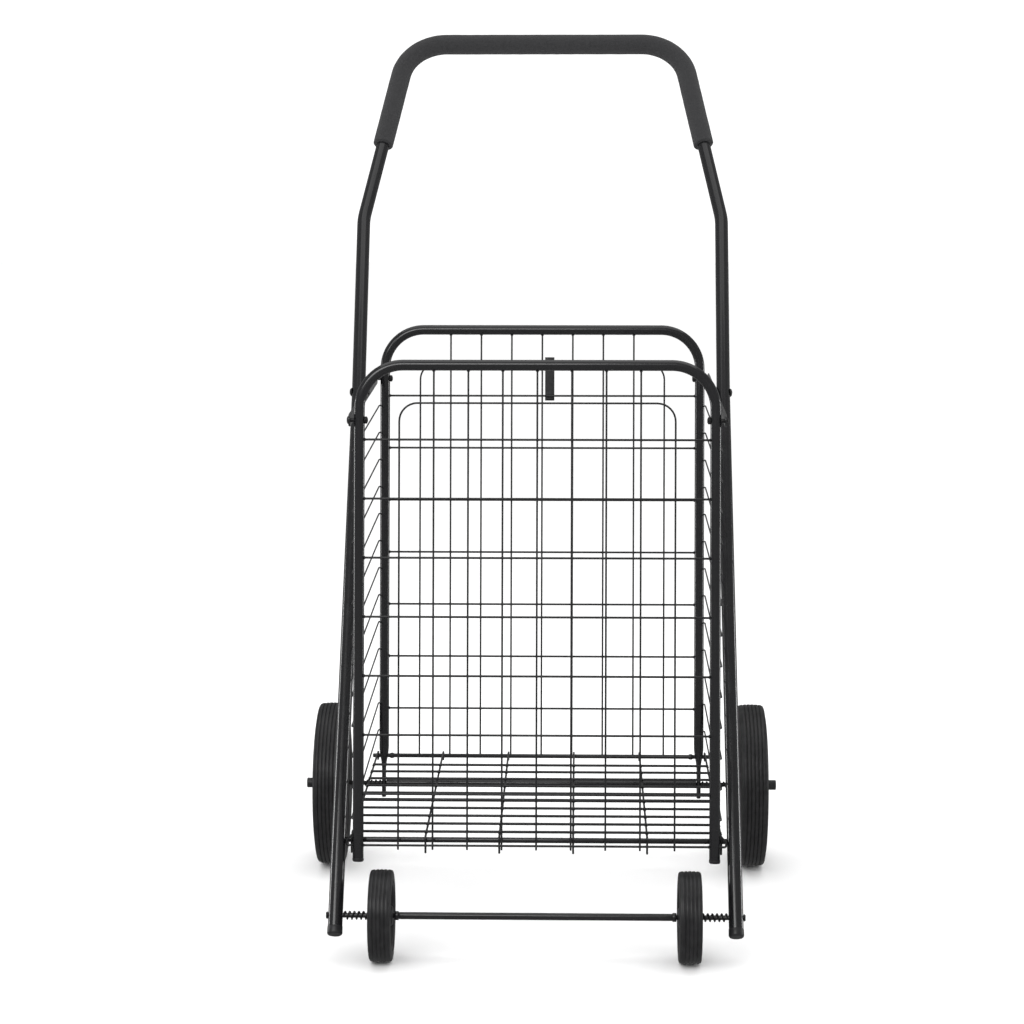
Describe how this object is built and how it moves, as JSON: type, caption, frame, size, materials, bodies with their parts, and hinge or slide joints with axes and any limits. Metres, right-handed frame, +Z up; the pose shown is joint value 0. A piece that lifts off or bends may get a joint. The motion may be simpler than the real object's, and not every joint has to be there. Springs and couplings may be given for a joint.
{
  "type": "folding shopping trolley",
  "caption": "Black folding shopping trolley: wire basket in bent tube frames, foam-gripped slanting handle, large rear and small front wheels, hinged wire tray.",
  "frame": {"origin": "on the floor, under the middle of the whole trolley's box, with the basket open", "axes": "+X to the right seen from the front, +Y from the front wheels back to the handle, +Z up"},
  "size_m": [0.584, 0.6886, 1.0322],
  "materials": {
    "frame_paint": "gloss",
    "wire_paint": "gloss",
    "dark_steel": "satin",
    "grip_foam": "matte",
    "tyre": "matte",
    "wheel_plastic": "satin",
    "trim_plastic": "satin"
  },
  "bodies": {
    "basket_rear": {"rear_frame": "frame_paint", "rear_grid": "wire_paint", "rear_axle": "dark_steel", "rear_sleeve": "frame_paint", "rear_spring_left": "dark_steel", "rear_spring_right": "dark_steel", "rear_cap_left": "trim_plastic", "rear_cap_right": "trim_plastic", "rear_bolt_left": "dark_steel", "rear_bolt_right": "dark_steel"},
    "links": {"link_left": "frame_paint", "link_right": "frame_paint"},
    "basket_front": {"front_frame": "frame_paint", "front_grid": "wire_paint", "front_bolt_left": "dark_steel", "front_bolt_right": "dark_steel"},
    "handle": {"handle_frame": "frame_paint", "handle_grip": "grip_foam", "front_rod": "dark_steel", "front_axle": "dark_steel", "front_spring_left": "dark_steel", "front_spring_right": "dark_steel", "leg_bolt_left": "dark_steel", "leg_bolt_right": "dark_steel", "leg_cap_left": "trim_plastic", "leg_cap_right": "trim_plastic"},
    "tray": {"tray": "wire_paint"},
    "latch": {"latch": "trim_plastic"},
    "rear_wheel_left": {"rear_tyre_left": "tyre", "rear_hub_left": "wheel_plastic"},
    "front_wheel_left": {"front_wheel_left": "wheel_plastic"},
    "rear_wheel_right": {"rear_tyre_right": "tyre", "rear_hub_right": "wheel_plastic"},
    "front_wheel_right": {"front_wheel_right": "wheel_plastic"},
    "side_row_01": {"side_wire_01_left": "wire_paint", "side_wire_01_right": "wire_paint"},
    "side_row_02": {"side_wire_02_left": "wire_paint", "side_wire_02_right": "wire_paint"},
    "side_row_03": {"side_wire_03_left": "wire_paint", "side_wire_03_right": "wire_paint"},
    "side_row_04": {"side_wire_04_left": "wire_paint", "side_wire_04_right": "wire_paint"},
    "side_row_05": {"side_wire_05_left": "wire_paint", "side_wire_05_right": "wire_paint"},
    "side_row_06": {"side_wire_06_left": "wire_paint", "side_wire_06_right": "wire_paint"},
    "side_row_07": {"side_wire_07_left": "wire_paint", "side_wire_07_right": "wire_paint"},
    "side_row_08": {"side_wire_08_left": "wire_paint", "side_wire_08_right": "wire_paint"},
    "side_row_09": {"side_wire_09_left": "wire_paint", "side_wire_09_right": "wire_paint"},
    "side_row_10": {"side_wire_10_left": "wire_paint", "side_wire_10_right": "wire_paint"},
    "side_row_11": {"side_wire_11_left": "wire_paint", "side_wire_11_right": "wire_paint"},
    "side_row_12": {"side_wire_12_left": "wire_paint", "side_wire_12_right": "wire_paint"},
    "side_row_13": {"side_wire_13_left": "wire_paint", "side_wire_13_right": "wire_paint"}
  },
  "joints": [
    {"name": "fold", "type": "hinge", "parent": "basket_rear", "child": "links", "pos_m": [0, 0.20046, 0.60145], "axis": [-1, 0, 0], "range_deg": [0, 94]},
    {"name": "handle_fold", "type": "hinge", "parent": "links", "child": "handle", "pos_m": [0, 0.05738, 0.5947], "axis": [1, 0, 0], "range_deg": [0, 116]},
    {"name": "front_fold", "type": "hinge", "parent": "links", "child": "basket_front", "pos_m": [0, -0.1976, 0.58268], "axis": [1, 0, 0], "range_deg": [0, 94]},
    {"name": "tray_fold", "type": "hinge", "parent": "basket_rear", "child": "tray", "pos_m": [0, 0.14474, 0.13416], "axis": [-1, 0, 0], "range_deg": [0, 80.3]},
    {"name": "side_row_01_fold", "type": "hinge", "parent": "basket_rear", "child": "side_row_01", "pos_m": [0, 0.19646, 0.56793], "axis": [-1, 0, 0], "range_deg": [0, 94]},
    {"name": "side_row_02_fold", "type": "hinge", "parent": "basket_rear", "child": "side_row_02", "pos_m": [0, 0.19247, 0.53442], "axis": [-1, 0, 0], "range_deg": [0, 94]},
    {"name": "side_row_03_fold", "type": "hinge", "parent": "basket_rear", "child": "side_row_03", "pos_m": [0, 0.18847, 0.50091], "axis": [-1, 0, 0], "range_deg": [0, 94]},
    {"name": "side_row_04_fold", "type": "hinge", "parent": "basket_rear", "child": "side_row_04", "pos_m": [0, 0.18448, 0.4674], "axis": [-1, 0, 0], "range_deg": [0, 94]},
    {"name": "side_row_05_fold", "type": "hinge", "parent": "basket_rear", "child": "side_row_05", "pos_m": [0, 0.18048, 0.43389], "axis": [-1, 0, 0], "range_deg": [0, 94]},
    {"name": "side_row_06_fold", "type": "hinge", "parent": "basket_rear", "child": "side_row_06", "pos_m": [0, 0.17648, 0.40037], "axis": [-1, 0, 0], "range_deg": [0, 94]},
    {"name": "side_row_07_fold", "type": "hinge", "parent": "basket_rear", "child": "side_row_07", "pos_m": [0, 0.17249, 0.36686], "axis": [-1, 0, 0], "range_deg": [0, 94]},
    {"name": "side_row_08_fold", "type": "hinge", "parent": "basket_rear", "child": "side_row_08", "pos_m": [0, 0.16849, 0.33335], "axis": [-1, 0, 0], "range_deg": [0, 94]},
    {"name": "side_row_09_fold", "type": "hinge", "parent": "basket_rear", "child": "side_row_09", "pos_m": [0, 0.1645, 0.29983], "axis": [-1, 0, 0], "range_deg": [0, 94]},
    {"name": "side_row_10_fold", "type": "hinge", "parent": "basket_rear", "child": "side_row_10", "pos_m": [0, 0.1605, 0.26632], "axis": [-1, 0, 0], "range_deg": [0, 94]},
    {"name": "side_row_11_fold", "type": "hinge", "parent": "basket_rear", "child": "side_row_11", "pos_m": [0, 0.1565, 0.23281], "axis": [-1, 0, 0], "range_deg": [0, 94]},
    {"name": "side_row_12_fold", "type": "hinge", "parent": "basket_rear", "child": "side_row_12", "pos_m": [0, 0.15251, 0.1993], "axis": [-1, 0, 0], "range_deg": [0, 94]},
    {"name": "side_row_13_fold", "type": "hinge", "parent": "basket_rear", "child": "side_row_13", "pos_m": [0, 0.14851, 0.16578], "axis": [-1, 0, 0], "range_deg": [0, 94]},
    {"name": "latch_swing", "type": "hinge", "parent": "basket_rear", "child": "latch", "pos_m": [0.0093, 0.2027, 0.62021], "axis": [1, 0, 0], "range_deg": [0, 90]},
    {"name": "rear_wheel_left_spin", "type": "hinge", "parent": "basket_rear", "child": "rear_wheel_left", "pos_m": [-0.26, 0.14067, 0.1], "axis": [1, 0, 0], "continuous": true},
    {"name": "front_wheel_left_spin", "type": "hinge", "parent": "handle", "child": "front_wheel_left", "pos_m": [-0.1675, -0.29433, 0.05], "axis": [1, 0, 0], "continuous": true},
    {"name": "rear_wheel_right_spin", "type": "hinge", "parent": "basket_rear", "child": "rear_wheel_right", "pos_m": [0.26, 0.14067, 0.1], "axis": [1, 0, 0], "continuous": true},
    {"name": "front_wheel_right_spin", "type": "hinge", "parent": "handle", "child": "front_wheel_right", "pos_m": [0.1675, -0.29433, 0.05], "axis": [1, 0, 0], "continuous": true}
  ],
  "couplings": [
    {"joint": "handle_fold", "follows": "fold", "ratio": 1.234},
    {"joint": "front_fold", "follows": "fold", "ratio": 1},
    {"joint": "tray_fold", "follows": "fold", "ratio": 0.854},
    {"joint": "side_row_01_fold", "follows": "fold", "ratio": 1},
    {"joint": "side_row_02_fold", "follows": "fold", "ratio": 1},
    {"joint": "side_row_03_fold", "follows": "fold", "ratio": 1},
    {"joint": "side_row_04_fold", "follows": "fold", "ratio": 1},
    {"joint": "side_row_05_fold", "follows": "fold", "ratio": 1},
    {"joint": "side_row_06_fold", "follows": "fold", "ratio": 1},
    {"joint": "side_row_07_fold", "follows": "fold", "ratio": 1},
    {"joint": "side_row_08_fold", "follows": "fold", "ratio": 1},
    {"joint": "side_row_09_fold", "follows": "fold", "ratio": 1},
    {"joint": "side_row_10_fold", "follows": "fold", "ratio": 1},
    {"joint": "side_row_11_fold", "follows": "fold", "ratio": 1},
    {"joint": "side_row_12_fold", "follows": "fold", "ratio": 1},
    {"joint": "side_row_13_fold", "follows": "fold", "ratio": 1}
  ]
}
